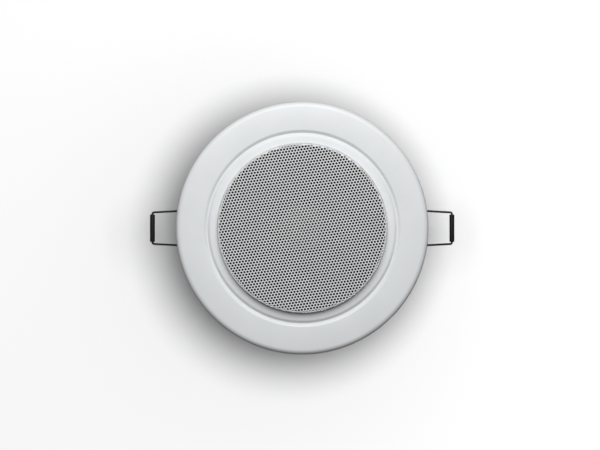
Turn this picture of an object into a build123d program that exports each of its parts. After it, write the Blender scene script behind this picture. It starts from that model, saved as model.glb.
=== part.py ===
from build123d import *

import os
from math import atan, cos, radians, sin, sqrt, tan

# In-ceiling speaker, in millimetres.
# The origin is the centre of the ceiling plane, which the bezel's rim meets. +Z points up into the
# ceiling void, the grille faces -Z, and the two spring clips lie along X.

# Grille: one perforated pan that comes through the bezel's opening
grille_d = 82.0
grille_sheet = 0.6
grille_stand = 3.6  # how far its face stands out of the bezel's face
grille_edge = 1.0
grille_gap = 0.2  # all round, between its wall and the bezel
brim_clearance = 0.3  # between its brim and the back of the groove
hole_pitch = 8.6  # coarse holes with the open share of the fine perforation
hole_d = 5.1
hole_sides = 8
hole_margin = 1.0
hole_row_turn = -8.5  # degrees between the rows of holes and the clip axis

# Bezel: one drawn sheet
bezel_sheet = 0.8
flange_depth = 4.2
edge_radius = 2.3
ring_width = 3.8
groove_width = 3.0
groove_floor = 0.8
groove_depth = 1.1
flange_face = 13.5  # from the groove to the flange's outside

# Weld studs and nuts that hold the driver
stud_d = 3.0
stud_count = 4
collar_d = 5.2
stud_over_nut = 1.0
nut_across_flats = 5.5
nut_height = 2.4
thread_clearance = 0.05
seat_clearance = 0.4  # between what stands on the flange's back and the folds beside it

# Basket
basket_sheet = 0.8
rim_over_brim = 1.6
lug_width = 6.8
lug_hole_clearance = 0.1
surround_inset = 3.0  # from the grille's wall in to the basket's mouth
step_height = 14.0
landing = 4.5
neck_d = 44.0
back_height = 18.6
ring_bore_margin = 1.2
window_count = 8
window_foot = 13.6
window_top = 8.6
window_low = 2.4
window_high = 2.4
tab_width = 8.0
tab_length = 7.0

# Moving parts of the driver
gasket_height = 0.8
surround_sheet = 0.4
roll_width = 6.0
roll_height = 2.0
cone_sheet = 0.5
cone_lap = 1.5
cone_height = 11.5
cone_flare = 1.2  # how far the cone's side bows in from a straight line
cap_margin = 0.9  # from the former out to the cap's edge
cap_rise = 3.8
cap_sheet = 0.4
former_d = 20.0
former_wall = 0.25
former_length = 13.5
coil_wall = 0.6
coil_length = 6.0
spider_sheet = 0.4
glue_gap = 0.05

# Motor
gap_clearance = 0.4
top_plate_d = 50.0
top_plate_height = 4.0
magnet_d = 55.0
magnet_height = 9.0
magnet_bore_margin = 2.0
yoke_d = 52.0
yoke_height = 4.0

# Terminals
board_width = 15.0
board_depth = 8.5
board_height = 1.2
board_overhang = 2.5
rivet_d = 2.4
rivet_head_d = 4.0
rivet_head = 0.7
tag_width = 3.0
tag_length = 11.0
tag_height = 0.5
tag_spacing = 9.6
tag_hole_d = 1.4
lead_d = 0.8
lead_bend = 3.0
lead_straight = 1.0  # past the board, before its first bend
lead_joint_r = 16.8  # where it is glued to the back of the cone

# Spring clips
clip_reach = 74.5
clip_slope = 17.0  # degrees that an arm falls, from its coil to its sleeve
wire_d = 1.0
arm_span = 18.0
tip_span = 15.4
tip_bend = 0.9
sleeve_d = 2.4
sleeve_clearance = 0.05
sleeve_end_gap = 0.1
coil_turns = 4
turn_gap = 0.2  # the furrow between two turns
pin_d = 2.0
pin_head_d = 3.4
pin_head = 0.8
pin_clearance = 0.04
pivot_height = 11.4  # above the flange's back
spring_clearance = 0.3  # between the pin and the coils
ear_clearance = 0.4
bracket_sheet = 1.0
ear_round_share = 0.85  # of the room between the pin and the ear's edge
bracket_depth = 5.5
coil_clearance = 0.25  # between the coils and the bracket's stops
stop_gap = 0.1
stop_overlap = 1.0
stop_height = 4.2

# Radii, from the middle out
grille_r = grille_d / 2
opening_r = grille_r + grille_gap
groove_in = opening_r + ring_width
groove_out = groove_in + groove_width
flange_r = groove_out + flange_face
groove_slope = (groove_width - groove_floor) / 2
groove_shift = bezel_sheet * tan(atan(groove_depth / groove_slope) / 2)
brim_r = groove_in - groove_shift - brim_clearance
rim_r = brim_r + rim_over_brim
mouth_r = grille_r - surround_inset
cone_r = mouth_r - roll_width
neck_r = neck_d / 2
step_r = neck_r + landing
stud_circle_r = groove_out + groove_shift + seat_clearance + collar_d / 2
former_r = former_d / 2 + former_wall
coil_r = former_r + glue_gap + coil_wall
cap_r = former_r + glue_gap + cap_margin
pole_r = former_d / 2 - gap_clearance
plate_bore_r = coil_r + gap_clearance
magnet_bore_r = plate_bore_r + magnet_bore_margin
rivet_y = step_r + tab_length - rivet_head_d / 2
board_y = rivet_y - rivet_head_d / 2

# Heights, from the front up
face_z = -flange_depth
back_z = face_z + bezel_sheet
grille_z = face_z - grille_stand
brim_z = back_z + grille_sheet
seat_z = brim_z + gasket_height
lip_z = seat_z + surround_sheet
rim_z = lip_z + basket_sheet
step_z = lip_z + step_height
ring_z = lip_z + back_height
plate_z = ring_z + basket_sheet
magnet_z = plate_z + top_plate_height
yoke_z = magnet_z + magnet_height
neck_z = seat_z + cone_height
spider_z = step_z - spider_sheet
coil_z = plate_z + top_plate_height / 2 - coil_length / 2
tab_z = step_z + basket_sheet
board_z = tab_z + board_height

# Clip places, on the right-hand side
ear_in = arm_span / 2 + wire_d / 2 + ear_clearance
ear_out = ear_in + bracket_sheet
bracket_in = groove_out + groove_shift + seat_clearance
bracket_out = bracket_in + bracket_depth
bracket_z = back_z + bracket_sheet
coil_bore_r = pin_d / 2 + spring_clearance
coil_mean_r = coil_bore_r + wire_d / 2
coil_outer_r = coil_bore_r + wire_d
pivot_x = bracket_out - bracket_sheet - coil_clearance - coil_outer_r
pivot_z = back_z + pivot_height
ear_reach = pivot_x - bracket_in
slope = radians(clip_slope)
arm_x = pivot_x + coil_mean_r * sin(slope)
arm_z = pivot_z + coil_mean_r * cos(slope)
tip_x = clip_reach - sleeve_d / 2
tip_z = arm_z - (tip_x - arm_x) * tan(slope)
stop_z = arm_z - (bracket_out - arm_x) * tan(slope) - wire_d / 2 / cos(slope) - stop_gap
leg_y = arm_span / 2 - (coil_turns - 1) * wire_d


# Sheet path given by points on one face: the other face lies to the right of the path
def sheet_section(path, thickness):
    lines = []
    for (r0, z0), (r1, z1) in zip(path, path[1:]):
        length = sqrt((r1 - r0) ** 2 + (z1 - z0) ** 2)
        across = ((z1 - z0) / length, (r0 - r1) / length)
        lines.append(across)
    far = [(path[0][0] + thickness * lines[0][0], path[0][1] + thickness * lines[0][1])]
    for (r, z), a, b in zip(path[1:], lines, lines[1:]):
        reach = thickness / (1 + a[0] * b[0] + a[1] * b[1])
        far.append((r + reach * (a[0] + b[0]), z + reach * (a[1] + b[1])))
    far.append((path[-1][0] + thickness * lines[-1][0], path[-1][1] + thickness * lines[-1][1]))
    return path, far


# Flat outline in the plane of the axis, as (radius, height) points
def section(points):
    return make_face(Polyline(*points, close=True))


def rounded(face, corner, radius):
    return fillet(face.vertices().sort_by_distance(Vector(*corner))[0], radius)


def turned(face):
    return revolve(Plane.XZ * face, Axis.Z)


def turned_ring(inner_r, outer_r, low, high):
    return turned(section([(inner_r, low), (outer_r, low), (outer_r, high), (inner_r, high)]))


# Turned about a line along Y, with (distance from the line, height along it) points
def turned_along_y(points, x, z):
    upright = revolve(Plane.XZ * section(points), Axis.Z)
    return Pos(x, 0, z) * (Rot(-90, 0, 0) * upright)


def disc(radius, low, high):
    return Pos(0, 0, low) * Cylinder(radius, high - low, align=(Align.CENTER, Align.CENTER, Align.MIN))


def block(x0, x1, y0, y1, z0, z1):
    return Pos((x0 + x1) / 2, (y0 + y1) / 2, (z0 + z1) / 2) * Box(x1 - x0, y1 - y0, z1 - z0)


def make_bezel():
    path = [
        (flange_r, 0),
        (flange_r, face_z),
        (groove_out, face_z),
        (groove_out - groove_slope, face_z + groove_depth),
        (groove_in + groove_slope, face_z + groove_depth),
        (groove_in, face_z),
        (opening_r, face_z),
    ]
    near, far = sheet_section(path, bezel_sheet)
    face = section(near + far[::-1])
    return turned(rounded(face, near[1], edge_radius))


def hole_places(reach):
    places = []
    count = int(reach / hole_pitch) + 2
    row_height = hole_pitch * sqrt(3) / 2
    for row in range(-count, count + 1):
        for column in range(-count, count + 1):
            x = (column + (row % 2) / 2) * hole_pitch
            y = row * row_height
            if sqrt(x * x + y * y) <= reach:
                places.append((x, y))
    return places


def make_grille():
    path = [
        (brim_r, brim_z),
        (grille_r - grille_sheet, brim_z),
        (grille_r - grille_sheet, grille_z + grille_sheet),
        (0, grille_z + grille_sheet),
    ]
    near, far = sheet_section(path, -grille_sheet)
    face = section(near + far[::-1])
    face = rounded(face, far[2], grille_edge)
    pan = turned(face)
    reach = grille_r - grille_edge - hole_margin - hole_d / 2
    punch = RegularPolygon(hole_d / 2, hole_sides, major_radius=False)
    punches = Sketch() + [Pos(x, y) * punch for x, y in hole_places(reach)]
    turned_punches = Pos(0, 0, grille_z) * (Rot(0, 0, hole_row_turn) * punches)
    return pan - extrude(turned_punches, grille_sheet)


def stud_places():
    return PolarLocations(stud_circle_r, stud_count, start_angle=180 / stud_count)


def make_studs():
    top = rim_z + nut_height + stud_over_nut
    stud = disc(collar_d / 2, back_z, lip_z) + disc(stud_d / 2, lip_z, top)
    return [place * stud for place in stud_places()]


def make_nuts():
    outline = RegularPolygon(nut_across_flats / 2, 6, major_radius=False)
    bore = Circle(stud_d / 2 + thread_clearance)
    nut = Pos(0, 0, rim_z) * extrude(outline - bore, nut_height)
    return [place * nut for place in stud_places()]


def make_basket():
    path = [
        (rim_r, lip_z),
        (mouth_r, lip_z),
        (step_r, step_z),
        (neck_r, step_z),
        (neck_r, ring_z),
        (plate_bore_r + ring_bore_margin, ring_z),
    ]
    near, far = sheet_section(path, basket_sheet)
    basket = turned(section(near + far[::-1]))

    lug = Pos(-stud_circle_r / 2 + mouth_r / 2, 0) * Rectangle(stud_circle_r - mouth_r, lug_width)
    lug = lug + Circle(lug_width / 2) - Circle(stud_d / 2 + lug_hole_clearance)
    inside = disc(mouth_r + basket_sheet, lip_z, rim_z)
    for place in stud_places():
        basket += place * (Pos(0, 0, lip_z) * extrude(lug, basket_sheet)) - inside

    foot_z = rim_z + window_low
    head_z = step_z - window_high
    outline = section([
        (-window_foot / 2, foot_z),
        (window_foot / 2, foot_z),
        (window_top / 2, head_z),
        (-window_top / 2, head_z),
    ])
    window = Pos(0, -rim_r, 0) * extrude(Plane.XZ * outline, -(rim_r - neck_r))
    for index in range(window_count):
        basket -= Rot(0, 0, (index + 0.5) * 360 / window_count) * window

    tab = block(-tab_width / 2, tab_width / 2, step_r - basket_sheet, step_r + tab_length, step_z, tab_z)
    return basket + tab


def make_gasket():
    return turned_ring(opening_r, brim_r, brim_z, seat_z)


def make_surround():
    crest = (mouth_r + cone_r) / 2
    path = [
        (brim_r, seat_z),
        (mouth_r, seat_z),
        (crest, seat_z - roll_height),
        (cone_r, seat_z),
        (cone_r - cone_lap, seat_z),
    ]
    near, far = sheet_section(path, surround_sheet)
    return turned(section(near + far[::-1]))


# One side of the cone, from its lap to its neck: rise lifts it to the paper's other face
def cone_side(rise):
    foot = (cone_r - cone_lap, lip_z + rise)
    neck = (former_r + glue_gap, neck_z + rise)
    return SagittaArc(foot, neck, -cone_flare)


def make_cone():
    front = cone_side(0)
    back = cone_side(cone_sheet)
    rim = Polyline(front @ 0, (cone_r, lip_z), (cone_r, lip_z + cone_sheet), back @ 0)
    return turned(make_face([front, rim, back, Line(front @ 1, back @ 1)]))


# Height of the cone's front face at a radius
def cone_z(radius):
    upright = Line((radius, lip_z - cone_height), (radius, neck_z + cone_height))
    return upright.intersect(cone_side(0)).vertices()[0].Y


def make_dust_cap():
    foot_z = cone_z(cap_r) - cap_sheet
    dome_r = (cap_r**2 + cap_rise**2) / (2 * cap_rise)
    middle = foot_z - cap_rise + dome_r
    ball = Pos(0, 0, middle) * Sphere(dome_r)
    hollow = Pos(0, 0, middle) * Sphere(dome_r - cap_sheet)
    return (ball - hollow) & disc(dome_r, middle - dome_r, foot_z)


def make_coil_former():
    top = coil_z + coil_length
    return turned_ring(former_d / 2, former_r, top - former_length, top)


def make_voice_coil():
    return turned_ring(former_r + glue_gap, coil_r, coil_z, coil_z + coil_length)


def make_spider():
    return turned_ring(former_r + glue_gap, step_r - seat_clearance, spider_z, step_z)


def make_top_plate():
    return turned_ring(plate_bore_r, top_plate_d / 2, plate_z, magnet_z)


def make_magnet():
    return turned_ring(magnet_bore_r, magnet_d / 2, magnet_z, yoke_z)


def make_yoke():
    return disc(yoke_d / 2, yoke_z, yoke_z + yoke_height) + disc(pole_r, plate_z, yoke_z)


def make_terminal_board():
    board = block(-board_width / 2, board_width / 2, board_y, board_y + board_depth, tab_z, board_z)
    return board - Pos(0, rivet_y, 0) * disc(rivet_d / 2, tab_z, board_z)


def make_terminal_rivet():
    rivet = disc(rivet_d / 2, tab_z, board_z)
    rivet += disc(rivet_head_d / 2, board_z, board_z + rivet_head)
    return Pos(0, rivet_y, 0) * rivet


def make_terminal_tags():
    tag = Pos(0, tag_length / 2) * Rectangle(tag_width, tag_length)
    tag = tag - Pos(0, tag_length - tag_width / 2) * Circle(tag_hole_d / 2)
    solid = Pos(0, board_y + board_depth - tag_length + board_overhang, board_z) * extrude(tag, tag_height)
    return [Pos(side * tag_spacing / 2, 0, 0) * solid for side in (-1, 1)]


# One lead: off its tag, down beside the tab, in through the window and on to the back of the cone
def make_right_lead():
    tag_x = tag_spacing / 2
    top = board_z + tag_height + lead_d / 2
    window_turn = radians(90 - 180 / window_count)
    middle_z = (rim_z + step_z) / 2
    wall_r = mouth_r - (middle_z - lip_z) * (mouth_r - step_r) / step_height
    back = cone_z(lead_joint_r) + cone_sheet + lead_d / 2 + glue_gap
    points = [
        (tag_x, board_y + tag_width / 2, top),
        (tag_x, board_y - lead_straight, top),
        (wall_r * cos(window_turn), wall_r * sin(window_turn), middle_z + lead_d),
        (lead_joint_r * cos(window_turn), lead_joint_r * sin(window_turn), back),
    ]
    path = FilletPolyline(*points, radius=[lead_straight, lead_bend])
    round_section = Plane(origin=path @ 0, z_dir=path % 0) * Circle(lead_d / 2)
    return sweep(round_section, path)


def make_right_bracket():
    base = block(bracket_in, bracket_out, -ear_out, ear_out, back_z, bracket_z)
    ear = section([
        (bracket_in, back_z),
        (bracket_out, back_z),
        (bracket_out, stop_z),
        (pivot_x + ear_reach, pivot_z + ear_reach),
        (bracket_in, pivot_z + ear_reach),
    ])
    for corner_x in (pivot_x + ear_reach, bracket_in):
        ear = rounded(ear, (corner_x, pivot_z + ear_reach), ear_round_share * ear_reach)
    ear -= Pos(pivot_x, pivot_z) * Circle(pin_d / 2 + pin_clearance)
    ear_plate = extrude(Plane.XZ * ear, bracket_sheet / 2, both=True)
    bracket = base
    stop_in = arm_span / 2 - wire_d / 2 - stop_overlap
    for side in (-1, 1):
        bracket += Pos(0, side * (ear_in + ear_out) / 2, 0) * ear_plate
        low, high = sorted((side * stop_in, side * ear_out))
        bracket += block(bracket_out - bracket_sheet, bracket_out, low, high, stop_z - stop_height, stop_z)
    return bracket


def make_right_pin():
    end = ear_out + pin_head
    points = [
        (0, -end),
        (pin_head_d / 2, -end),
        (pin_head_d / 2, -ear_out),
        (pin_d / 2, -ear_out),
        (pin_d / 2, end),
        (0, end),
    ]
    return turned_along_y(points, pivot_x, pivot_z)


def make_right_spring():
    tip = (tip_x, tip_span / 2, tip_z)
    far_tip = (tip_x, -tip_span / 2, tip_z)
    start = (arm_x, arm_span / 2, arm_z)
    end = (arm_x, -arm_span / 2, arm_z)
    path = FilletPolyline(start, tip, far_tip, end, radius=tip_bend)
    round_section = Plane(origin=path @ 0, z_dir=path % 0) * Circle(wire_d / 2)
    spring = sweep(round_section, path)

    high = arm_span / 2 + wire_d / 2
    points = [(coil_bore_r, high), (coil_bore_r, high - coil_turns * wire_d)]
    for turn in range(coil_turns, 0, -1):
        low = high - turn * wire_d
        points.append((coil_outer_r, low))
        points.append((coil_outer_r, low + wire_d - turn_gap))
        if turn > 1:
            points.append((coil_outer_r - turn_gap, low + wire_d - turn_gap))
            points.append((coil_outer_r - turn_gap, low + wire_d))
    points[-1] = (coil_outer_r, high)
    for side in (-1, 1):
        coil = turned_along_y([(r, side * y) for r, y in points], pivot_x, pivot_z)
        leg = Pos(pivot_x - coil_mean_r, side * leg_y, 0) * disc(wire_d / 2, bracket_z, pivot_z)
        spring = spring + coil + leg
    return spring


def make_right_sleeve():
    half = tip_span / 2 - tip_bend - sleeve_end_gap
    bore = wire_d / 2 + sleeve_clearance
    points = [(bore, -half), (sleeve_d / 2, -half), (sleeve_d / 2, half), (bore, half)]
    return turned_along_y(points, tip_x, tip_z)


def mirrored(solid):
    return mirror(solid, about=Plane.YZ)


def save(name, shape):
    solids = shape if isinstance(shape, list) else [shape]
    pieces = [piece for solid in solids for piece in solid.solids()]
    whole = pieces[0] if len(pieces) == 1 else Compound(pieces)
    export_step(whole, os.path.join("parts", name + ".step"))


def main():
    os.makedirs("parts", exist_ok=True)
    save("bezel", make_bezel())
    save("grille", make_grille())
    save("studs", make_studs())
    save("nuts", make_nuts())
    save("basket", make_basket())
    save("gasket", make_gasket())
    save("surround", make_surround())
    save("cone", make_cone())
    save("dust_cap", make_dust_cap())
    save("coil_former", make_coil_former())
    save("voice_coil", make_voice_coil())
    save("spider", make_spider())
    save("top_plate", make_top_plate())
    save("magnet", make_magnet())
    save("yoke", make_yoke())
    save("terminal_board", make_terminal_board())
    save("terminal_rivet", make_terminal_rivet())
    save("terminal_tags", make_terminal_tags())
    side_pieces = {
        "lead": make_right_lead(),
        "clip_bracket": make_right_bracket(),
        "clip_pin": make_right_pin(),
        "clip_spring": make_right_spring(),
        "clip_sleeve": make_right_sleeve(),
    }
    for name, solid in side_pieces.items():
        save("right_" + name, solid)
        save("left_" + name, mirrored(solid))


main()
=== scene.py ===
from math import atan2, ceil, cos, hypot, pi, radians, sin, sqrt, tan

import bmesh
import bpy
import numpy as np
from mathutils import Matrix, Vector
from mathutils.geometry import delaunay_2d_cdt


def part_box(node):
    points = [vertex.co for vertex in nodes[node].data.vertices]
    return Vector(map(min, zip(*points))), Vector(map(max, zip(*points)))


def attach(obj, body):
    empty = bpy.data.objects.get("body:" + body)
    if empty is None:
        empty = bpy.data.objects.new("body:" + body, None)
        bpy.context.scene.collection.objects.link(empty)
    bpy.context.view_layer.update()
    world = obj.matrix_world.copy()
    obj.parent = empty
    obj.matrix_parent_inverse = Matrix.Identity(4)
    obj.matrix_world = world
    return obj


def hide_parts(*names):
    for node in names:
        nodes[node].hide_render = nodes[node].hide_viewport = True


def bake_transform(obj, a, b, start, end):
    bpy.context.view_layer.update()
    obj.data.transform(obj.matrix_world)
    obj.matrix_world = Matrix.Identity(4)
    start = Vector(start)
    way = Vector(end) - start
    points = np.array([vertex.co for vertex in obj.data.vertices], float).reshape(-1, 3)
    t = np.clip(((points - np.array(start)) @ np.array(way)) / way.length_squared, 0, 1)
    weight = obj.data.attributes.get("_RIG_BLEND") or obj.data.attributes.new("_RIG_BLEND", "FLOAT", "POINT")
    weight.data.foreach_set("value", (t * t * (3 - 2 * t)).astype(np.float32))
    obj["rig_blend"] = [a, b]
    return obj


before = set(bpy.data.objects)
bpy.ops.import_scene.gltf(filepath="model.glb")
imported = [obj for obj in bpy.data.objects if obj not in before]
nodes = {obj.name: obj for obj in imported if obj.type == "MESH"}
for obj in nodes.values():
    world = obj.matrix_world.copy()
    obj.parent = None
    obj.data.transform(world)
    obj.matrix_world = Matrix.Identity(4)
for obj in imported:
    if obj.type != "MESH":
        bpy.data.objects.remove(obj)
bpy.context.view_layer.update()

# In-ceiling speaker: its looks, in millimetres in the part's own frame. The grille faces -Z, the ceiling
# void is above, and the spring clips lie along X. Values that end in soft or round are roundings of edges.
MM = 0.001
tiny = 1e-6  # shorter lengths count as none


# A node's lowest and highest corner, in millimetres
def box_mm(node):
    low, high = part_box(node)
    return low / MM, high / MM


# Places that the frame gives
bezel_low, bezel_high = box_mm("bezel")
grille_low, grille_high = box_mm("grille")
surround_low, surround_high = box_mm("surround")
_, spider_high = box_mm("spider")
basket_low, basket_high = box_mm("basket")
plate_low, plate_high = box_mm("top_plate")
magnet_low, magnet_high = box_mm("magnet")
yoke_low, yoke_high = box_mm("yoke")
_, studs_high = box_mm("studs")
pin_low, pin_high = box_mm("right_clip_pin")
spring_low, _ = box_mm("right_clip_spring")
sleeve_low, sleeve_high = box_mm("right_clip_sleeve")
rivet_low, rivet_high = box_mm("terminal_rivet")

# Bezel
flange_r = bezel_high.x
face_z = bezel_low.z
bezel_sheet = 0.8
back_z = face_z + bezel_sheet
edge_radius = 2.7
opening_r = 41.35
groove_in = 45.0
groove_out = 47.6
groove_slope = 1.1
groove_depth = 1.1
groove_fold = 0.3  # inner radius of the folds beside the groove
cut_round = 0.1  # a sheet's cut edges, on the bezel and the basket

# Grille, perforated
grille_z = grille_low.z
brim_r = grille_high.x
grille_r = 41.0
grille_sheet = 0.6
grille_edge = 1.0
grille_heel = 0.3
hole_pitch = 1.5
hole_d = 1.2
hole_sides = 12
hole_clearance = 0.6 * hole_d  # from a hole's middle to the nearest other point of the sheet
hole_row_turn = radians(-8.5)
hole_reach = 40.7  # along the sheet, so the last holes lie on its rounded edge
ring_steps = 220
within_outline = 1  # what the triangulation keeps: all within the sheet's outline

# Grille's stations along its sheet, from the middle out
face_end = grille_r - grille_edge
edge_end = face_end + grille_edge * pi / 2
wall_end = edge_end + back_z - grille_z - grille_edge - grille_heel
heel_end = wall_end + grille_heel * pi / 2
sheet_end = heel_end + brim_r - grille_r - grille_heel

# Basket
basket_sheet = 0.8
basket_fold = 0.6
rim_r = 45.97
mouth_r = 38.0
step_r = 26.5
neck_r = 22.0
ring_bore_r = 12.5
lip_z = basket_low.z
rim_z = lip_z + basket_sheet
ring_z = basket_high.z - basket_sheet
step_z = 12.4
window_count = 8
window_foot = 13.6
window_top = 8.6
window_margin = 2.4
window_round = 1.6
lug_width = 6.8
lug_hole_gap = 0.1
face_inset = 0.02  # lugs and tab are thinner than the shell by this on each face, so that none coincide
cutter_overrun = 1.0
stud_count = 4
stud_circle_r = 51.33
tab_width = 8.0
tab_length = 7.0
tab_round = 1.0

# Studs and nuts
stud_r = 1.5
collar_r = 2.6
collar_soft = 0.1
shank_lap = 0.1  # how far the thread starts inside the collar
nut_soft = 0.25
thread_pitch = 0.5
thread_depth = 0.28
thread_fade = 2 * thread_depth  # the thread's end, where it runs out

# Terminals
board_soft = 0.12
tag_soft = 0.08
rivet_head_r = (rivet_high.y - rivet_low.y) / 2
rivet_shank_r = rivet_head_r * 0.6
rivet_mouth_r = rivet_head_r * 0.3
rivet_floor_r = rivet_head_r * 0.25
rivet_head = 0.7
rivet_sink = 0.3
rivet_soft = 0.1
rivet_lip_round = 0.2
rivet_head_round = 0.5

# Driver
cone_r = 32.0
cone_lap = 1.5
former_r = 10.3
spider_waves = 6
spider_wave = 0.8
spider_sheet = 0.4
spider_flat = 1.5  # at each edge, where it is glued
surround_sheet = 0.4
plate_bore_r = 11.3
magnet_bore_r = 13.3
pole_r = 9.6
pole_root = 0.2
plate_soft = 0.3
magnet_soft = 0.8
yoke_soft = 0.9

# Leads, from a tag to the back of the cone
lead_r = 0.4
lead_bend = 1.6
lead_points = [(4.8, 31.0, 15.3), (4.8, 28.4, 15.3), (12.2, 29.5, 6.6), (6.43, 15.52, 8.03)]

# Spring clips, on the right-hand side
pivot_x = (pin_low.x + pin_high.x) / 2
pivot_z = (pin_low.z + pin_high.z) / 2
pin_r = 1.0
pin_head = 0.8
pin_head_r = 1.7
pin_head_round = 0.5
pin_head_soft = 0.1
pin_root = 0.05
pin_soft = 0.3
bracket_soft = 0.2
wire_r = 0.5
coil_r = 1.8
coil_turns = 2
clip_slope = radians(17.0)
arm_y = 9.0
leg_y = 6.0
leg_length = 5.0  # straight wire from the leg's foot up to the coil
tip_y = 7.7
tip_bend = 0.9
tip_x = (sleeve_low.x + sleeve_high.x) / 2
tip_z = (sleeve_low.z + sleeve_high.z) / 2
arm_x = pivot_x + coil_r * sin(clip_slope)
arm_z = pivot_z + coil_r * cos(clip_slope)
sleeve_r = (sleeve_high.x - sleeve_low.x) / 2
sleeve_bore_r = 0.55
sleeve_soft = 0.25

# How finely curves are divided
turn_steps = 192
small_steps = 48
arc_steps = 6
bend_steps = 12
half_turn_steps = 24
wave_steps = 12
thread_steps = 8
soft_steps = 2
wire_sides = 16

# Angles between faces, in degrees
flat_angle = 1.0  # below this, two faces become one
edge_angle = 40.0  # above this, an edge is softened
smooth_angle = 35.0  # above this, an edge is shaded as sharp
weld_gap = 0.001  # corners of a node that are nearer than this become one

# Camera: the object's middle lies a few of the picture's pixels off its middle
picture_width = 600
field_width = 291.2
middle_right = 2.2
middle_down = 3.2
lens = 100.0
sensor = 36.0

# The wave texture multiplies its scale by this
wave_scale = 20

# Stage: a floor under the grille and a backdrop behind the object
surface_r = 6000.0
surface_steps = 128
floor_gap = 0.02
backdrop_z = 48.0
# The surfaces' painted shade changes between these radii, in millimetres from the middle
painted_shade_start = flange_r
painted_shade_end = field_width * 2 / 3
white = (1, 1, 1, 1)


# Outline with rounded corners, from (x, y, corner radius) points
def rounded(corners):
    points = []
    count = len(corners)
    for index, (x, y, radius) in enumerate(corners):
        if radius == 0:
            points.append((x, y))
            continue
        here = Vector((x, y))
        before = (Vector(corners[index - 1][:2]) - here).normalized()
        after = (Vector(corners[(index + 1) % count][:2]) - here).normalized()
        half = before.angle(after) / 2
        middle = here + (before + after).normalized() * (radius / sin(half))
        start = here + before * (radius / tan(half)) - middle
        end = here + after * (radius / tan(half)) - middle
        turn_angle = atan2(start.x * end.y - start.y * end.x, start.dot(end))
        for step in range(arc_steps + 1):
            point = middle + Matrix.Rotation(turn_angle * step / arc_steps, 2) @ start
            points.append((point.x, point.y))
    return points


# Outline of a folded sheet: a path along one face, the other face to its right, and the folds' inner radius
def folded_sheet(path, thickness, fold, end_round):
    across = []
    for (x0, y0), (x1, y1) in zip(path, path[1:]):
        length = hypot(x1 - x0, y1 - y0)
        across.append(((y1 - y0) / length, (x0 - x1) / length))

    def far_end(point, side):
        return point[0] + thickness * side[0], point[1] + thickness * side[1], end_round

    near = [(*path[0], end_round)]
    far = [far_end(path[0], across[0])]
    for (x, y), a, b in zip(path[1:], across, across[1:]):
        reach = thickness / (1 + a[0] * b[0] + a[1] * b[1])
        near_fold = fold
        far_fold = fold + thickness
        if a[0] * b[1] - a[1] * b[0] < 0:
            near_fold, far_fold = far_fold, near_fold
        near.append((x, y, near_fold))
        far.append((x + reach * (a[0] + b[0]), y + reach * (a[1] + b[1]), far_fold))
    near.append((*path[-1], end_round))
    far.append(far_end(path[-1], across[-1]))
    return near, far


# Closed surface of a (radius, height) outline that is turned about Z
def turn(outline, steps=turn_steps):
    verts = []
    rings = []
    for r, z in outline:
        if r < tiny:
            rings.append([len(verts)])
            verts.append((0.0, 0.0, z))
            continue
        rings.append(list(range(len(verts), len(verts) + steps)))
        verts += [(r * cos(2 * pi * i / steps), r * sin(2 * pi * i / steps), z) for i in range(steps)]
    faces = []
    for a, b in zip(rings, rings[1:] + rings[:1]):
        for i in range(steps):
            j = (i + 1) % steps
            corners = [a[i % len(a)], a[j % len(a)], b[j % len(b)], b[i % len(b)]]
            face = list(dict.fromkeys(corners))
            if len(face) > 2:
                faces.append(face)
    return verts, faces


# The same surface, about a line along Y
def turn_along_y(outline, x, z, steps=small_steps):
    verts, faces = turn(outline, steps)
    return [(x + a, c, z + b) for a, b, c in verts], faces


# Closed prism of an outline in the XY plane
def prism(outline, low, high):
    count = len(outline)
    verts = [(x, y, z) for z in (low, high) for x, y in outline]
    faces = [list(range(count))[::-1], list(range(count, 2 * count))]
    for i in range(count):
        j = (i + 1) % count
        faces.append([i, j, count + j, count + i])
    return verts, faces


def placed(mesh_data, matrix):
    verts, faces = mesh_data
    return [tuple(matrix @ Vector(v)) for v in verts], faces


def joined(*meshes):
    verts = []
    faces = []
    for more_verts, more_faces in meshes:
        start = len(verts)
        verts += more_verts
        faces += [[start + i for i in face] for face in more_faces]
    return verts, faces


# Copies of a mesh, evenly round Z from half a step past X
def around(mesh_data, count):
    turns = [Matrix.Rotation(2 * pi * (i + 0.5) / count, 4, "Z") for i in range(count)]
    return joined(*[placed(mesh_data, turned) for turned in turns])


# Points given for the right-hand side, mirrored for the left
def on_side(points, side):
    return points if side == "right" else [(-x, y, z) for x, y, z in points]


# Line through points in space, with its corners bent to a radius
def bent(points, radius):
    points = [Vector(p) for p in points]
    line = [points[0]]
    for before, here, after in zip(points, points[1:], points[2:]):
        back = (before - here).normalized()
        ahead = (after - here).normalized()
        half = back.angle(ahead) / 2
        middle = here + (back + ahead).normalized() * (radius / sin(half))
        start = here + back * (radius / tan(half)) - middle
        axis = start.cross(ahead)
        for step in range(bend_steps + 1):
            angle = (pi - 2 * half) * step / bend_steps
            line.append(middle + Matrix.Rotation(angle, 3, axis) @ start)
    line.append(points[-1])
    return line


# Tube of round section along points, with flat ends
def tube(points, radius, sides=wire_sides):
    points = [Vector(p) for p in points]
    ahead = (points[1] - points[0]).normalized()
    side = ahead.orthogonal().normalized()
    verts = []
    for index, point in enumerate(points):
        before = points[max(index - 1, 0)]
        after = points[min(index + 1, len(points) - 1)]
        turned = (after - before).normalized()
        side = ahead.rotation_difference(turned) @ side
        ahead = turned
        other = ahead.cross(side)
        for i in range(sides):
            angle = 2 * pi * i / sides
            verts.append(tuple(point + (side * cos(angle) + other * sin(angle)) * radius))
    faces = [list(range(sides)), list(range(len(verts) - sides, len(verts)))]
    for ring in range(len(points) - 1):
        for i in range(sides):
            j = (i + 1) % sides
            low = ring * sides
            faces.append([low + i, low + j, low + sides + j, low + sides + i])
    return verts, faces


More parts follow.
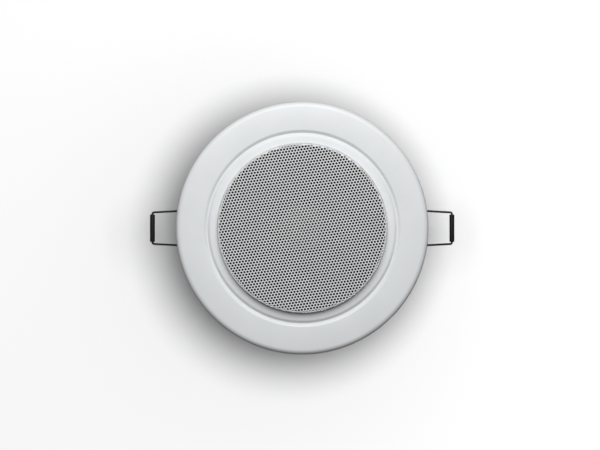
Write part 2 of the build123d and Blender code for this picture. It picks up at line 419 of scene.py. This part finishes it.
def mesh_object(name, mesh_data, recalculate=True):
    verts, faces = mesh_data
    mesh = bpy.data.meshes.new(name)
    mesh.from_pydata([(x * MM, y * MM, z * MM) for x, y, z in verts], [], faces)
    if recalculate:
        shape = bmesh.new()
        shape.from_mesh(mesh)
        bmesh.ops.recalc_face_normals(shape, faces=shape.faces)
        shape.to_mesh(mesh)
        shape.free()
    made = bpy.data.objects.new(name, mesh)
    bpy.context.scene.collection.objects.link(made)
    return made


# Gives an object the finish of its slot and its place on the part
def dress(made, slot, body, replaced=(), sharp=smooth_angle):
    made.data.shade_smooth()
    made.data.set_sharp_from_angle(angle=radians(sharp))
    made.data.materials.clear()
    made.data.materials.append(finishes[slot])
    if replaced:
        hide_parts(*replaced)
    if body:
        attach(made, body)
    return made


# A node's own shape, with its flat faces made whole and its sharp edges softened
def soft_piece(name, node, width, slot):
    shape = bmesh.new()
    shape.from_mesh(nodes[node].data)
    bmesh.ops.remove_doubles(shape, verts=shape.verts, dist=weld_gap * MM)
    bmesh.ops.dissolve_limit(shape, angle_limit=radians(flat_angle), verts=shape.verts, edges=shape.edges)
    sharp = [edge for edge in shape.edges if edge.calc_face_angle(0) > radians(edge_angle)]
    bmesh.ops.bevel(shape, geom=sharp, offset=width * MM, segments=soft_steps, profile=0.5,
                    affect="EDGES", clamp_overlap=True)
    mesh = bpy.data.meshes.new(name)
    shape.to_mesh(mesh)
    shape.free()
    made = bpy.data.objects.new(name, mesh)
    bpy.context.scene.collection.objects.link(made)
    dress(made, slot, "frame", [node])


# One object after another is joined to a base or cut out of it
def carved(base, *steps):
    for operation, tool in steps:
        modifier = base.modifiers.new(operation, "BOOLEAN")
        modifier.operation = operation
        modifier.solver = "EXACT"
        modifier.object = tool
    graph = bpy.context.evaluated_depsgraph_get()
    mesh = bpy.data.meshes.new_from_object(base.evaluated_get(graph))
    base.modifiers.clear()
    base.data = mesh
    for _, tool in steps:
        bpy.data.objects.remove(tool)
    return base


# Material with its own grain, worked out from the place on the object
class Finish:
    def __init__(self, name, roughness, metallic=0.0):
        self.material = bpy.data.materials.new(name)
        self.material.use_nodes = True
        self.tree = self.material.node_tree
        self.shader = self.tree.nodes["Principled BSDF"]
        self.shader.inputs["Metallic"].default_value = metallic
        self.shader.inputs["Roughness"].default_value = roughness
        self.place = self.node("ShaderNodeTexCoord").outputs["Object"]

    def node(self, kind):
        return self.tree.nodes.new(kind)

    def link(self, output, target):
        self.tree.links.new(output, target)

    # Noise whose grains are about this many millimetres wide
    def noise(self, grain, detail=4.0):
        made = self.node("ShaderNodeTexNoise")
        made.inputs["Scale"].default_value = 1 / (grain * MM)
        made.inputs["Detail"].default_value = detail
        self.link(self.place, made.inputs["Vector"])
        return made.outputs["Fac"]

    # Bands that are this many millimetres apart, along an axis or as rings about Z
    def bands(self, spacing, axis):
        made = self.node("ShaderNodeTexWave")
        if axis == "RINGS":
            made.wave_type = "RINGS"
            made.rings_direction = "Z"
        else:
            made.bands_direction = axis
        made.inputs["Scale"].default_value = 2 * pi / (wave_scale * spacing * MM)
        self.link(self.place, made.inputs["Vector"])
        return made.outputs["Fac"]

    # Colour from one shade to a lighter one, between a low and a high value of the factor
    def colours(self, factor, shade, light, low=0.3, high=0.7):
        ramp = self.node("ShaderNodeValToRGB")
        first, last = ramp.color_ramp.elements
        first.position = low
        first.color = (*shade, 1.0)
        last.position = high
        last.color = (*light, 1.0)
        self.link(factor, ramp.inputs["Fac"])
        self.link(ramp.outputs["Color"], self.shader.inputs["Base Color"])

    def gloss(self, factor, low, high):
        spread = self.node("ShaderNodeMapRange")
        spread.inputs["To Min"].default_value = low
        spread.inputs["To Max"].default_value = high
        self.link(factor, spread.inputs["Value"])
        self.link(spread.outputs["Result"], self.shader.inputs["Roughness"])

    # Relief, in millimetres from its lowest to its highest place
    def relief(self, factor, height):
        made = self.node("ShaderNodeBump")
        made.inputs["Strength"].default_value = 1.0
        made.inputs["Distance"].default_value = height * MM
        self.link(factor, made.inputs["Height"])
        target = self.shader.inputs["Normal"]
        if target.is_linked:
            self.link(target.links[0].from_socket, made.inputs["Normal"])
        self.link(made.outputs["Normal"], target)


def painted(name, shade, light, grain, depth):
    finish = Finish(name, roughness=0.4)
    finish.colours(finish.noise(grain=14.0), shade, light)
    finish.gloss(finish.noise(grain=6.0), low=0.26, high=0.36)
    finish.relief(finish.noise(grain, detail=2.0), depth)
    return finish.material


def plated(name, shade, light, roughness):
    finish = Finish(name, roughness, metallic=1.0)
    finish.colours(finish.noise(grain=4.0, detail=6.0), shade, light)
    finish.gloss(finish.noise(grain=1.2, detail=5.0), low=roughness - 0.08, high=roughness + 0.12)
    finish.relief(finish.noise(grain=0.35, detail=3.0), height=0.004)
    return finish.material


def turned_metal(name, shade, light):
    finish = Finish(name, roughness=0.34, metallic=1.0)
    finish.colours(finish.noise(grain=9.0, detail=5.0), shade, light)
    finish.gloss(finish.noise(grain=2.0, detail=5.0), low=0.26, high=0.46)
    finish.relief(finish.bands(spacing=0.35, axis="RINGS"), height=0.004)
    finish.relief(finish.noise(grain=0.4, detail=3.0), height=0.003)
    return finish.material


def paper(name, shade, light, roughness, fibre):
    finish = Finish(name, roughness)
    finish.colours(finish.noise(fibre * 4, detail=6.0), shade, light, low=0.35)
    finish.relief(finish.noise(fibre, detail=5.0), height=0.03)
    return finish.material


def cloth(name, shade, light, thread):
    finish = Finish(name, roughness=0.85)
    finish.colours(finish.noise(grain=3.0, detail=5.0), shade, light)
    for axis in ("X", "Y"):
        finish.relief(finish.bands(thread, axis), height=0.03)
    return finish.material


def wound(name, shade, light, spacing, axis, roughness):
    finish = Finish(name, roughness, metallic=0.9)
    finish.colours(finish.noise(grain=1.0), shade, light)
    finish.relief(finish.bands(spacing, axis), height=0.05)
    return finish.material


def speckled(name, shade, light, roughness, grain, depth, specular=0.5):
    finish = Finish(name, roughness)
    finish.shader.inputs["Specular IOR Level"].default_value = specular
    finish.colours(finish.noise(grain, detail=6.0), shade, light, low=0.35, high=0.75)
    finish.gloss(finish.noise(grain * 3), low=roughness - 0.08, high=roughness + 0.08)
    finish.relief(finish.noise(grain, detail=5.0), depth)
    return finish.material


finishes = {
    "white_paint": painted(
        "white_paint", (0.75, 0.77, 0.785), (0.78, 0.80, 0.81), grain=0.5, depth=0.006),
    "grille_paint": painted(
        "grille_paint", (0.78, 0.793, 0.80), (0.82, 0.832, 0.84), grain=0.3, depth=0.006),
    "zinc_steel": plated(
        "zinc_steel", (0.56, 0.57, 0.58), (0.70, 0.71, 0.72), roughness=0.28),
    "basket_steel": plated(
        "basket_steel", (0.50, 0.51, 0.53), (0.62, 0.63, 0.65), roughness=0.36),
    "plate_steel": turned_metal(
        "plate_steel", (0.54, 0.55, 0.56), (0.66, 0.67, 0.68)),
    "spring_wire": speckled(
        "spring_wire", (0.005, 0.005, 0.005), (0.014, 0.0138, 0.0135),
        roughness=0.38, grain=0.6, depth=0.004, specular=0.3),
    "black_sleeve": speckled(
        "black_sleeve", (0.003, 0.0032, 0.0032), (0.007, 0.0074, 0.0074),
        roughness=0.5, grain=0.4, depth=0.01, specular=0.3),
    "gasket_card": paper(
        "gasket_card", (0.010, 0.010, 0.010), (0.024, 0.023, 0.022), roughness=0.95, fibre=0.3),
    "surround_cloth": cloth(
        "surround_cloth", (0.006, 0.006, 0.006), (0.012, 0.012, 0.0125), thread=0.45),
    "cone_paper": paper(
        "cone_paper", (0.006, 0.006, 0.006), (0.014, 0.014, 0.0145), roughness=0.9, fibre=0.35),
    "cap_paper": paper(
        "cap_paper", (0.014, 0.014, 0.0145), (0.026, 0.026, 0.027), roughness=0.45, fibre=0.25),
    "former_foil": plated(
        "former_foil", (0.66, 0.67, 0.68), (0.78, 0.79, 0.80), roughness=0.3),
    "coil_copper": wound(
        "coil_copper", (0.55, 0.22, 0.09), (0.72, 0.33, 0.16), spacing=0.25, axis="Z", roughness=0.3),
    "spider_cloth": cloth(
        "spider_cloth", (0.36, 0.20, 0.05), (0.50, 0.30, 0.09), thread=0.5),
    "ferrite": speckled(
        "ferrite", (0.028, 0.028, 0.030), (0.060, 0.060, 0.064), roughness=0.62, grain=0.5, depth=0.02),
    "phenolic": speckled(
        "phenolic", (0.14, 0.06, 0.02), (0.23, 0.105, 0.038), roughness=0.45, grain=0.8, depth=0.008),
    "tinned_brass": plated(
        "tinned_brass", (0.60, 0.56, 0.46), (0.76, 0.72, 0.62), roughness=0.26),
    "lead_braid": wound(
        "lead_braid", (0.45, 0.22, 0.11), (0.66, 0.36, 0.20), spacing=0.4, axis="DIAGONAL", roughness=0.42),
}


# One piece of the part. A piece that bends rides on no one body.
def piece(name, mesh_data, slot, body, replaced=(), sharp=smooth_angle, recalculate=True):
    made = mesh_object(name, mesh_data, recalculate)
    return dress(made, slot, body, replaced, sharp)


def make_bezel():
    path = [
        (flange_r, bezel_high.z),
        (flange_r, face_z),
        (groove_out, face_z),
        (groove_out - groove_slope, face_z + groove_depth),
        (groove_in + groove_slope, face_z + groove_depth),
        (groove_in, face_z),
        (opening_r, face_z),
    ]
    near, far = folded_sheet(path, bezel_sheet, groove_fold, cut_round)
    near[1] = (flange_r, face_z, edge_radius)
    far[1] = (*far[1][:2], edge_radius - bezel_sheet)
    sheet = turn(rounded(near + far[::-1]))
    return piece("white_bezel", sheet, "white_paint", "frame", ["bezel"], sharp=60.0)


# Place on the grille's sheet: how far along it from the middle, and how deep in from its outer face
def grille_place(along, depth):
    if along <= face_end:
        return along, grille_z + depth
    if along <= edge_end:
        angle = (along - face_end) / grille_edge
        radius = grille_edge - depth
        return face_end + radius * sin(angle), grille_z + grille_edge - radius * cos(angle)
    if along <= wall_end:
        return grille_r - depth, grille_z + grille_edge + along - edge_end
    if along <= heel_end:
        angle = (along - wall_end) / grille_heel
        radius = grille_heel + depth
        return grille_r + grille_heel - radius * cos(angle), back_z - grille_heel + radius * sin(angle)
    return grille_r + grille_heel + along - heel_end, back_z + depth


# Middles of the holes on the flat sheet, in staggered rows
def hole_places():
    places = []
    row_height = hole_pitch * sqrt(3) / 2
    columns = ceil(hole_reach / hole_pitch) + 1
    rows = ceil(hole_reach / row_height)
    for row in range(-rows, rows + 1):
        for column in range(-columns, columns + 1):
            place = Vector(((column + (row % 2) / 2) * hole_pitch, row * row_height))
            if place.length <= hole_reach:
                places.append(Matrix.Rotation(hole_row_turn, 2) @ place)
    return places


def round_places(middle, radius, sides):
    angles = [2 * pi * i / sides for i in range(sides)]
    return [middle + Vector((cos(angle), sin(angle))) * radius for angle in angles]


# The sheet is laid out flat with all its holes, and then pressed into a pan
def make_grille():
    holes = hole_places()
    loops = [round_places(hole, hole_d / 2, hole_sides) for hole in holes]
    loops.append(round_places(Vector((0, 0)), sheet_end, ring_steps))
    points = []
    edges = []
    for loop in loops:
        start = len(points)
        points += loop
        edges += [(start + i, start + (i + 1) % len(loop)) for i in range(len(loop))]
    middles = np.array([tuple(hole) for hole in holes])
    stations = [face_end + (edge_end - face_end) * i / arc_steps for i in range(arc_steps + 1)]
    stations += [wall_end + (heel_end - wall_end) * i / arc_steps for i in range(arc_steps + 1)]
    for station in stations:
        for place in round_places(Vector((0, 0)), station, ring_steps):
            if np.hypot(*(middles - tuple(place)).T).min() > hole_clearance:
                points.append(place)
    flat, _, triangles, sources, _, _ = delaunay_2d_cdt(points, edges, [], within_outline, tiny)

    # A triangle whose corners all belong to one hole lies in that hole, and is left out
    last = len(holes) * hole_sides
    owners = [source[0] // hole_sides if source[0] < last else None for source in sources]
    triangles = [t for t in triangles if owners[t[0]] is None or len({owners[i] for i in t}) > 1]

    verts = []
    for depth in (0, grille_sheet):
        for place in flat:
            r, z = grille_place(place.length, depth)
            share = r / max(place.length, tiny)
            verts.append((place.x * share, place.y * share, z))
    inner = len(flat)
    faces = []
    open_sides = set()
    for triangle in triangles:
        faces.append(triangle[::-1])
        faces.append([inner + i for i in triangle])
        for a, b in zip(triangle, triangle[1:] + triangle[:1]):
            if (b, a) in open_sides:
                open_sides.remove((b, a))
            else:
                open_sides.add((a, b))
    faces += [[inner + b, inner + a, a, b] for a, b in sorted(open_sides)]
    piece("perforated_grille", (verts, faces), "grille_paint", "frame", ["grille"], sharp=50.0,
          recalculate=False)


# Pressed basket: a turned shell with lugs and a tab, and windows cut through its slope
def make_basket():
    path = [
        (rim_r, lip_z),
        (mouth_r, lip_z),
        (step_r, step_z),
        (neck_r, step_z),
        (neck_r, ring_z),
        (ring_bore_r, ring_z),
    ]
    near, far = folded_sheet(path, basket_sheet, basket_fold, cut_round)
    shell = mesh_object("pressed_basket", turn(rounded(near + far[::-1])))

    root = mouth_r + 2 * basket_sheet
    lug_outline = [(root, lug_width / 2), (root, -lug_width / 2)]
    for angle in np.linspace(-pi / 2, pi / 2, half_turn_steps + 1):
        lug_outline.append((stud_circle_r + lug_width / 2 * cos(angle), lug_width / 2 * sin(angle)))
    lug = prism(lug_outline, lip_z + face_inset, rim_z - face_inset)
    lugs = mesh_object("lugs", around(lug, stud_count))
    hole_ring = round_places(Vector((0, 0)), stud_r + lug_hole_gap, small_steps)
    hole_outline = [(stud_circle_r + x, y) for x, y in hole_ring]
    hole = prism(hole_outline, lip_z - cutter_overrun, rim_z + cutter_overrun)
    holes = mesh_object("lug_holes", around(hole, stud_count))

    foot_z = rim_z + window_margin
    head_z = step_z - window_margin
    outline = rounded([
        (-window_foot / 2, foot_z, window_round),
        (window_foot / 2, foot_z, window_round),
        (window_top / 2, head_z, window_round),
        (-window_top / 2, head_z, window_round),
    ])
    upright = Matrix.Rotation(pi / 2, 4, "X")
    window = placed(prism(outline, -rim_r, -neck_r), upright)
    windows = mesh_object("windows", around(window, window_count))

    tab_end = step_r + tab_length
    tab_outline = rounded([
        (-tab_width / 2, step_r - basket_sheet, 0),
        (tab_width / 2, step_r - basket_sheet, 0),
        (tab_width / 2, tab_end, tab_round),
        (-tab_width / 2, tab_end, tab_round),
    ])
    tab = mesh_object("tab", prism(tab_outline, step_z + face_inset, step_z + basket_sheet - face_inset))
    carved(shell, ("UNION", lugs), ("UNION", tab), ("DIFFERENCE", windows), ("DIFFERENCE", holes))
    return dress(shell, "basket_steel", "frame", ["basket"], sharp=30.0)


def ring_outline(inner_r, outer_r, low, high, soft):
    corners = [(inner_r, low), (outer_r, low), (outer_r, high), (inner_r, high)]
    return rounded([(r, z, soft) for r, z in corners])


def make_motor():
    front = ring_outline(plate_bore_r, plate_high.x, plate_low.z, plate_high.z, plate_soft)
    plate = piece("front_plate", turn(front), "plate_steel", "frame", ["top_plate"])
    ring = ring_outline(magnet_bore_r, magnet_high.x, magnet_low.z, magnet_high.z, magnet_soft)
    magnet = piece("ring_magnet", turn(ring), "ferrite", "frame", ["magnet"])
    back = rounded([
        (0, yoke_low.z, 0),
        (pole_r, yoke_low.z, plate_soft),
        (pole_r, magnet_high.z, pole_root),
        (yoke_high.x, magnet_high.z, plate_soft),
        (yoke_high.x, yoke_high.z, yoke_soft),
        (0, yoke_high.z, 0),
    ])
    yoke = piece("back_plate", turn(back), "plate_steel", "frame", ["yoke"])
    return [plate, magnet, yoke]


# A ring that stays with the frame at its outer radius and moves with the cone at its inner one
def stretched(ring, outer_r, inner_r):
    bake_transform(ring, "frame", "cone", start=(outer_r * MM, 0, 0), end=(inner_r * MM, 0, 0))
    shares = ring.data.attributes["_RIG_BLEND"].data
    for vertex, share in zip(ring.data.vertices, shares):
        along = (outer_r - hypot(vertex.co.x, vertex.co.y) / MM) / (outer_r - inner_r)
        along = min(max(along, 0.0), 1.0)
        share.value = along * along * (3 - 2 * along)


def make_surround():
    middle = (mouth_r + cone_r) / 2
    half = (mouth_r - cone_r) / 2
    top = surround_high.z
    rise = top - surround_sheet - surround_low.z
    line = [(brim_r, top), (mouth_r, top)]
    for angle in np.linspace(0, pi, half_turn_steps + 1)[1:-1]:
        line.append((middle + half * cos(angle), top - rise * sin(angle)))
    line += [(cone_r, top), (cone_r - cone_lap, top)]
    front = [(r, z - surround_sheet) for r, z in line]
    sheet = turn(line + front[::-1])
    roll = piece("surround_roll", sheet, "surround_cloth", None, ["surround"], sharp=60.0)
    stretched(roll, mouth_r, cone_r)


def make_spider():
    inner_r = former_r
    outer_r = spider_high.x
    width = outer_r - inner_r
    line = []
    for share in np.linspace(0, 1, spider_waves * wave_steps + 1):
        ease = min(1.0, share * width / spider_flat, (1 - share) * width / spider_flat)
        dip = spider_wave * ease * (1 - cos(2 * pi * spider_waves * share)) / 2
        line.append((inner_r + width * share, spider_high.z - dip))
    front = [(r, z - spider_sheet) for r, z in line]
    sheet = turn(line + front[::-1])
    waves = piece("corrugated_spider", sheet, "spider_cloth", None, ["spider"], sharp=60.0)
    stretched(waves, outer_r - spider_flat, inner_r + spider_flat)


# Screw thread: the radius falls and rises with the height and the turn together
def threaded(radius, low, high):
    rows = ceil((high - low) / thread_pitch * thread_steps)
    verts = []
    for row in range(rows + 1):
        z = low + (high - low) * row / rows
        for i in range(small_steps):
            phase = ((z - low) / thread_pitch - i / small_steps) % 1.0
            ease = min(1.0, (high - z) / thread_fade)
            r = radius - thread_depth * (abs(2 * phase - 1) * ease + (1 - ease))
            angle = 2 * pi * i / small_steps
            verts.append((r * cos(angle), r * sin(angle), z))
    faces = [list(range(small_steps)), list(range(len(verts) - small_steps, len(verts)))]
    for row in range(rows):
        below = row * small_steps
        above = below + small_steps
        for i in range(small_steps):
            j = (i + 1) % small_steps
            faces.append([below + i, below + j, above + j, above + i])
    return verts, faces


def make_fasteners():
    collar = turn(ring_outline(stud_r / 2, collar_r, back_z, lip_z, collar_soft), small_steps)
    shank = threaded(stud_r, lip_z - shank_lap, studs_high.z)
    meshes = []
    for i in range(stud_count):
        angle = 2 * pi * (i + 0.5) / stud_count
        place = Matrix.Translation((stud_circle_r * cos(angle), stud_circle_r * sin(angle), 0))
        meshes += [placed(collar, place), placed(shank, place)]
    piece("weld_studs", joined(*meshes), "zinc_steel", "frame", ["studs"], sharp=25.0)
    soft_piece("hex_nuts", "nuts", nut_soft, "zinc_steel")


def make_terminals():
    soft_piece("terminal_strip", "terminal_board", board_soft, "phenolic")
    soft_piece("solder_tags", "terminal_tags", tag_soft, "tinned_brass")
    head_z = rivet_high.z - rivet_head
    floor_z = rivet_high.z - rivet_sink
    outline = rounded([
        (0, rivet_low.z, 0),
        (rivet_shank_r, rivet_low.z, 0),
        (rivet_shank_r, head_z, 0),
        (rivet_head_r, head_z, rivet_soft),
        (rivet_head_r, rivet_high.z, rivet_head_round),
        (rivet_mouth_r, rivet_high.z, rivet_lip_round),
        (rivet_floor_r, floor_z, rivet_soft),
        (0, floor_z, 0),
    ])
    middle_y = (rivet_low.y + rivet_high.y) / 2
    rivet = placed(turn(outline, small_steps), Matrix.Translation((0, middle_y, 0)))
    piece("hollow_rivet", rivet, "tinned_brass", "frame", ["terminal_rivet"])


def make_lead(side):
    points = on_side(lead_points, side)
    braid = tube(bent(points, lead_bend), lead_r)
    lead = piece(side + "_braid", braid, "lead_braid", None, [side + "_lead"])
    start = Vector(points[2]) * MM
    end = Vector(points[3]) * MM
    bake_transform(lead, "frame", "cone", start=start, end=end)


# Wire arms with a coil at each end, and the sleeve on the bar between the arms
def make_clip(side):
    body = side + "_clip"
    arms = bent([
        (arm_x, arm_y, arm_z),
        (tip_x, tip_y, tip_z),
        (tip_x, -tip_y, tip_z),
        (arm_x, -arm_y, arm_z),
    ], tip_bend)
    arms = tube(on_side(arms, side), wire_r)
    made = [piece(body + "_arms", arms, "spring_wire", body, [body + "_spring"])]

    turned = pi / 2 + clip_slope + 2 * pi * coil_turns
    steps = coil_turns * small_steps
    for name, y_sign in (("front", -1), ("back", 1)):
        wire = [
            (pivot_x - coil_r, y_sign * leg_y, spring_low.z),
            (pivot_x - coil_r, y_sign * leg_y, spring_low.z + leg_length),
        ]
        for step in range(steps + 1):
            angle = -pi / 2 + turned * step / steps
            y = leg_y + (arm_y - leg_y) * step / steps
            wire.append((pivot_x + coil_r * sin(angle), y_sign * y, pivot_z + coil_r * cos(angle)))
        wire = tube(on_side(wire, side), wire_r)
        coil = piece(body + "_coil_" + name, wire, "spring_wire", None)
        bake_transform(coil, "frame", body, start=(0, y_sign * (leg_y + wire_r) * MM, 0),
                 end=(0, y_sign * (arm_y - wire_r) * MM, 0))
        made.append(coil)

    half = (sleeve_high.y - sleeve_low.y) / 2
    outline = ring_outline(sleeve_bore_r, sleeve_r, -half, half, sleeve_soft)
    verts, faces = turn_along_y(outline, tip_x, tip_z)
    sleeve = (on_side(verts, side), faces)
    made.append(piece(body + "_tube", sleeve, "black_sleeve", body, [body + "_sleeve"]))
    return made


def make_bracket(side):
    node = side + "_clip_bracket"
    soft_piece(side + "_folded_bracket", node, bracket_soft, "white_paint")
    end = pin_high.y
    outline = rounded([
        (0, -end, 0),
        (pin_head_r, -end, pin_head_round),
        (pin_head_r, -end + pin_head, pin_head_soft),
        (pin_r, -end + pin_head, pin_root),
        (pin_r, end, pin_soft),
        (0, end, 0),
    ])
    verts, faces = turn_along_y(outline, pivot_x, pivot_z)
    pin = (on_side(verts, side), faces)
    piece(side + "_pivot", pin, "zinc_steel", "frame", [side + "_clip_pin"])


# Pieces that keep the shape of their nodes
def finish_nodes():
    kept = {
        "gasket": "gasket_card",
        "cone": "cone_paper",
        "dust_cap": "cap_paper",
        "coil_former": "former_foil",
        "voice_coil": "coil_copper",
    }
    for node, slot in kept.items():
        nodes[node].data.materials.clear()
        nodes[node].data.materials.append(finishes[slot])


# Plain pale surface that shows from one side only and casts no shadow. Its colour changes outwards as
# painted shade, from its middle value to its outer one.
def make_surface(name, z, facing, middle_painted_shade, outer_painted_shade):
    shape = bmesh.new()
    bmesh.ops.create_circle(shape, cap_ends=True, radius=surface_r * MM, segments=surface_steps)
    mesh = bpy.data.meshes.new(name)
    shape.to_mesh(mesh)
    shape.free()
    if mesh.polygons[0].normal.z * facing < 0:
        mesh.flip_normals()
    made = bpy.data.objects.new(name, mesh)
    made.location.z = z * MM
    bpy.context.scene.collection.objects.link(made)
    made.visible_shadow = False
    made.visible_diffuse = False
    made.visible_glossy = False
    made.visible_transmission = False

    material = bpy.data.materials.new(name)
    material.use_nodes = True
    tree = material.node_tree
    tree.nodes.clear()
    output = tree.nodes.new("ShaderNodeOutputMaterial")
    matt = tree.nodes.new("ShaderNodeBsdfDiffuse")
    place = tree.nodes.new("ShaderNodeTexCoord")
    length = tree.nodes.new("ShaderNodeVectorMath")
    length.operation = "LENGTH"
    # Painted shade: the colour follows the distance from the middle
    shade = tree.nodes.new("ShaderNodeMapRange")
    shade.inputs["From Min"].default_value = painted_shade_start * MM
    shade.inputs["From Max"].default_value = painted_shade_end * MM
    shade.inputs["To Min"].default_value = middle_painted_shade
    shade.inputs["To Max"].default_value = outer_painted_shade
    tree.links.new(place.outputs["Object"], length.inputs[0])
    tree.links.new(length.outputs["Value"], shade.inputs["Value"])
    tree.links.new(shade.outputs["Result"], matt.inputs["Color"])
    clear = tree.nodes.new("ShaderNodeBsdfTransparent")
    mix = tree.nodes.new("ShaderNodeMixShader")
    geometry = tree.nodes.new("ShaderNodeNewGeometry")
    tree.links.new(geometry.outputs["Backfacing"], mix.inputs["Fac"])
    tree.links.new(matt.outputs["BSDF"], mix.inputs[1])
    tree.links.new(clear.outputs["BSDF"], mix.inputs[2])
    tree.links.new(mix.outputs["Shader"], output.inputs["Surface"])
    mesh.materials.append(material)
    return made


# The light reaches every object except those that it passes by, or else only the ones that are named
def link_light(light, passes, only):
    linked = bpy.data.collections.new(light.name + "_surfaces")
    for surface in (*passes, *only):
        linked.objects.link(surface)
    for member in linked.collection_objects:
        member.light_linking.link_state = "INCLUDE" if only else "EXCLUDE"
    light.light_linking.receiver_collection = linked


# A soft light that points at the object
def make_light(name, place, size, power, passes=(), only=(), gloss=True):
    data = bpy.data.lights.new(name, "AREA")
    data.shape = "DISK"
    data.size = size
    data.energy = power
    made = bpy.data.objects.new(name, data)
    made.location = place
    made.rotation_euler = (-Vector(place)).to_track_quat("-Z", "Y").to_euler()
    made.visible_camera = False
    made.visible_glossy = gloss
    bpy.context.scene.collection.objects.link(made)
    link_light(made, passes, only)


# Even light from one direction
def make_sun(name, place, spread, strength, only):
    data = bpy.data.lights.new(name, "SUN")
    data.angle = radians(spread)
    data.energy = strength
    made = bpy.data.objects.new(name, data)
    made.rotation_euler = (-Vector(place)).to_track_quat("-Z", "Y").to_euler()
    bpy.context.scene.collection.objects.link(made)
    link_light(made, (), only)


# Place at a distance in metres, towards an azimuth and an elevation in degrees
def towards(distance, azimuth, elevation):
    azimuth = radians(azimuth)
    elevation = radians(elevation)
    level = distance * cos(elevation)
    return level * cos(azimuth), level * sin(azimuth), distance * sin(elevation)


# The room: dim light all round, and a pale wall where it shows
def make_room(light, shade):
    world = bpy.data.worlds.new("room")
    world.use_nodes = True
    tree = world.node_tree
    background = tree.nodes["Background"]
    background.inputs["Strength"].default_value = light
    wall = tree.nodes.new("ShaderNodeBackground")
    for surface in (background, wall):
        surface.inputs["Color"].default_value = white
    wall.inputs["Strength"].default_value = shade
    path = tree.nodes.new("ShaderNodeLightPath")
    mix = tree.nodes.new("ShaderNodeMixShader")
    tree.links.new(path.outputs["Is Camera Ray"], mix.inputs["Fac"])
    tree.links.new(background.outputs["Background"], mix.inputs[1])
    tree.links.new(wall.outputs["Background"], mix.inputs[2])
    tree.links.new(mix.outputs["Shader"], tree.nodes["World Output"].inputs["Surface"])
    bpy.context.scene.world = world


# Places and sizes of the lights are in metres. The key light and the backdrop's own light are for the view
# from below, and the others are for views of the back.
def make_stage(bezel, clips, driver):
    # The floor's colour grows slightly lighter outwards.
    floor = make_surface("floor", grille_z - floor_gap, facing=1, middle_painted_shade=0.8, outer_painted_shade=0.82)
    # The backdrop's colour is painted shade and light: darker near the object, which deepens its cast
    # shadow, and lighter outwards, which cancels the fall-off of the backdrop's own light.
    backdrop = make_surface("backdrop", backdrop_z, facing=-1, middle_painted_shade=0.63, outer_painted_shade=0.97)
    stage = [floor, backdrop]
    make_light("key", (0.01, -0.558, -0.769), size=1.01, power=11.0, passes=stage)
    make_light("backdrop_light", (0.0394, -0.0315, -0.376), size=0.25, power=2.6, only=[backdrop])
    for index, azimuth in enumerate((30, 150, 270)):
        above = towards(1.3, azimuth, elevation=66)
        make_light(f"top_light_{index}", above, size=0.5, power=4.2, passes=[*stage, *clips], gloss=False)
        beside = towards(1.3, azimuth, elevation=60)
        make_light(f"driver_light_{index}", beside, size=0.6, power=2.2, only=driver)
    for index, azimuth in enumerate((45, 135, 225, 315)):
        place = towards(1.4, azimuth, elevation=24)
        make_light(f"panel_{index}", place, size=1.0, power=1.9, passes=[*stage, *clips, bezel])
    make_light("floor_glow", (0.0, 0.0, -0.3), size=3.0, power=8.0, only=driver)
    make_sun("floor_sun", (-0.25, -0.15, 1.0), spread=30.0, strength=3.1, only=[floor])
    make_room(light=0.10, shade=0.83)
    bpy.context.scene.view_settings.view_transform = "Standard"


def make_camera():
    data = bpy.data.cameras.new("camera")
    data.lens = lens
    data.sensor_width = sensor
    camera = bpy.data.objects.new("camera", data)
    pixel = field_width / picture_width * MM
    distance = field_width * lens / sensor
    camera.location = (-middle_right * pixel, -middle_down * pixel, (face_z - distance) * MM)
    camera.rotation_euler = (pi, 0, 0)
    bpy.context.scene.collection.objects.link(camera)
    bpy.context.scene.camera = camera


bezel = make_bezel()
make_grille()
driver = [make_basket(), *make_motor()]
make_surround()
make_spider()
make_fasteners()
make_terminals()
clips = []
for side in ("left", "right"):
    make_lead(side)
    clips += make_clip(side)
    make_bracket(side)
finish_nodes()
make_stage(bezel, clips, driver)
make_camera()
